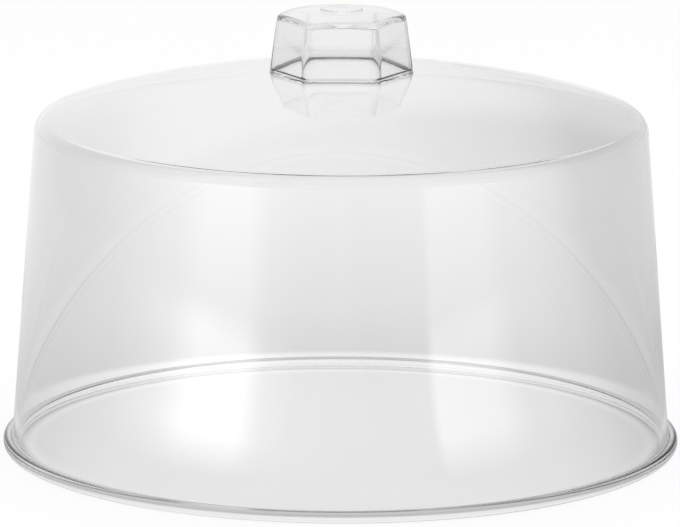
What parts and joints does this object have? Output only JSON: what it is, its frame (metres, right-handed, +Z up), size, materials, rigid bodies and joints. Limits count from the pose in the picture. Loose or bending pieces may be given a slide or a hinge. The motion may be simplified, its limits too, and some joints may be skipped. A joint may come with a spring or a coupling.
{
  "type": "cake cover",
  "caption": "Clear round cake cover with straight leaning wall, low domed top, turned-out rim and a hollow six-sided knob.",
  "frame": {"origin": "centre of the rim's underside, on the surface that the cover stands on", "axes": "+Z up along the cover's axis; X through two opposite corners of the knob, Y through two of its flats"},
  "size_m": [0.305, 0.305, 0.1992],
  "materials": {
    "clear_plastic": "clear, polished mould finish",
    "clear_plastic_knob": "clear, polished mould finish"
  },
  "bodies": {
    "root": {"bell": "clear_plastic", "knob": "clear_plastic_knob"}
  },
  "joints": []
}
